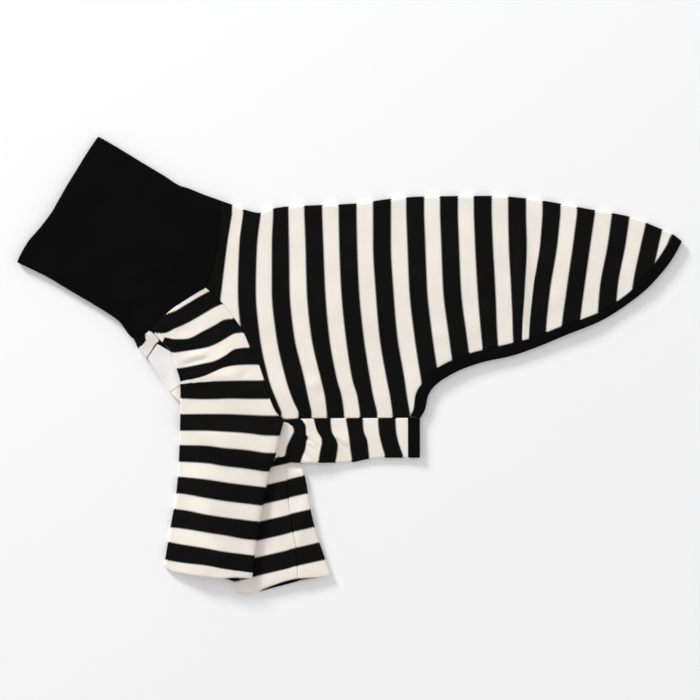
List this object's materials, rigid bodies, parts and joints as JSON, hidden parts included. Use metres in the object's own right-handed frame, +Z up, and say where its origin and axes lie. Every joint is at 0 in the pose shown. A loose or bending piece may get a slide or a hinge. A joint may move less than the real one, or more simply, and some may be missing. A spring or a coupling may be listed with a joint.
{
  "type": "dog shirt",
  "caption": "Striped knit sighthound shirt with a tall black turtleneck, raglan front sleeves and a long tapered back with a bound edge, laid flat on its side.",
  "frame": {"origin": "on the surface that the shirt lies on, under the middle of its outline", "axes": "+X from the collar's free edge towards the tail tip, +Y from the sleeves' cuffs towards the spine, +Z up out of the surface"},
  "size_m": [0.5305, 0.3653, 0.0092],
  "materials": {
    "striped_jersey": "matte cotton jersey in even stripes of black and cream",
    "black_rib": "matte black knit, doubled",
    "black_binding": "matte black knit band, folded double and sewn on",
    "woven_label": "smooth white woven tape, blank"
  },
  "bodies": {
    "root": {"collar": "black_rib", "back_panel": "striped_jersey", "chest_panel": "striped_jersey", "near_sleeve": "striped_jersey", "far_sleeve": "striped_jersey", "hem_binding": "black_binding", "belly_binding": "black_binding", "label": "woven_label"}
  },
  "joints": []
}
